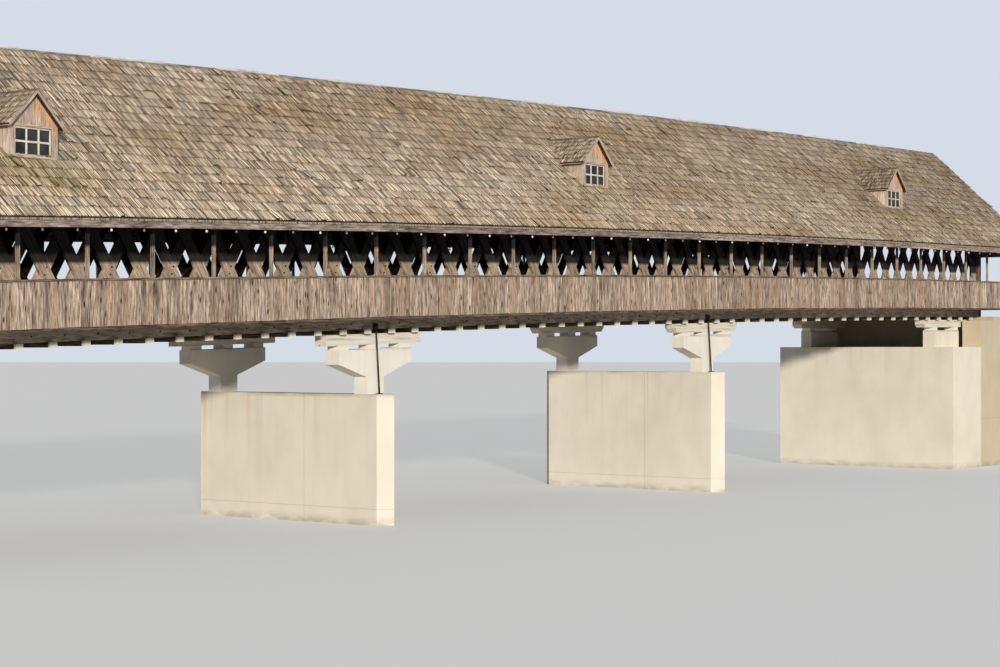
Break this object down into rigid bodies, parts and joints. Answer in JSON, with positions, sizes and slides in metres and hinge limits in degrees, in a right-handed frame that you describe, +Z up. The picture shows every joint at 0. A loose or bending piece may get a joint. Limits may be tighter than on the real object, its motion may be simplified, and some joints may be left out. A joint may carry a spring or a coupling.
{
  "type": "covered bridge, 1:2 scale model",
  "caption": "Covered timber lattice-truss bridge with roofed road, side walkways, shake roof and dormers, on concrete piers and abutments; half-size scale model.",
  "frame": {"origin": "on the water level under the bridge's centre line, midway between the roof's ends", "axes": "+X along the bridge towards its higher end, +Y across it towards the far side, +Z up"},
  "size_m": [38.9, 5.8, 8.1044],
  "materials": {
    "pier_concrete": "board-formed concrete with vertical stains",
    "pedestal_concrete": "smooth pale concrete",
    "bolster_timber": "timber with white paint",
    "rod_steel": "dark steel",
    "beam_timber": "weathered sawn timber",
    "chord_timber": "weathered sawn timber",
    "deck_plank": "worn planks",
    "lattice_plank": "weathered planks",
    "post_timber": "weathered sawn timber",
    "siding_board": "weathered vertical boards with knots",
    "rafter_timber": "sawn timber",
    "roof_shake": "weathered split shakes",
    "ridge_board": "bleached boards",
    "fascia_board": "pale weathered boards",
    "portal_board": "weathered vertical boards",
    "dormer_board": "weathered vertical boards",
    "dormer_shake": "weathered split shakes",
    "window_glass": "dark window glass"
  },
  "bodies": {
    "root": {"pier_1": "pier_concrete", "pier_2": "pier_concrete", "pier_1_pedestals": "pedestal_concrete", "pier_2_pedestals": "pedestal_concrete", "left_abutment": "pier_concrete", "right_abutment": "pier_concrete", "left_wing_walls": "pier_concrete", "right_wing_walls": "pier_concrete", "pier_1_bolsters": "bolster_timber", "pier_2_bolsters": "bolster_timber", "abutment_bolsters": "bolster_timber", "bearing_blocks": "pedestal_concrete", "tie_rods": "rod_steel", "floor_beams": "beam_timber", "road_deck": "deck_plank", "near_walkway": "deck_plank", "far_walkway": "deck_plank", "near_lattice_left": "lattice_plank", "near_lattice_right": "lattice_plank", "far_lattice_left": "lattice_plank", "far_lattice_right": "lattice_plank", "near_lower_chord": "chord_timber", "far_lower_chord": "chord_timber", "near_upper_chord": "chord_timber", "far_upper_chord": "chord_timber", "near_posts": "post_timber", "far_posts": "post_timber", "near_siding": "siding_board", "far_siding": "siding_board", "tie_beams": "beam_timber", "near_rafters": "rafter_timber", "far_rafters": "rafter_timber", "near_roof": "roof_shake", "far_roof": "roof_shake", "ridge_cap": "ridge_board", "near_fascia": "fascia_board", "far_fascia": "fascia_board", "left_gable": "portal_board", "right_gable": "portal_board", "left_portal_sides": "portal_board", "right_portal_sides": "portal_board", "near_dormer_walls": "dormer_board", "far_dormer_walls": "dormer_board", "near_dormer_roofs": "dormer_shake", "far_dormer_roofs": "dormer_shake", "dormer_glass": "window_glass"}
  },
  "joints": []
}
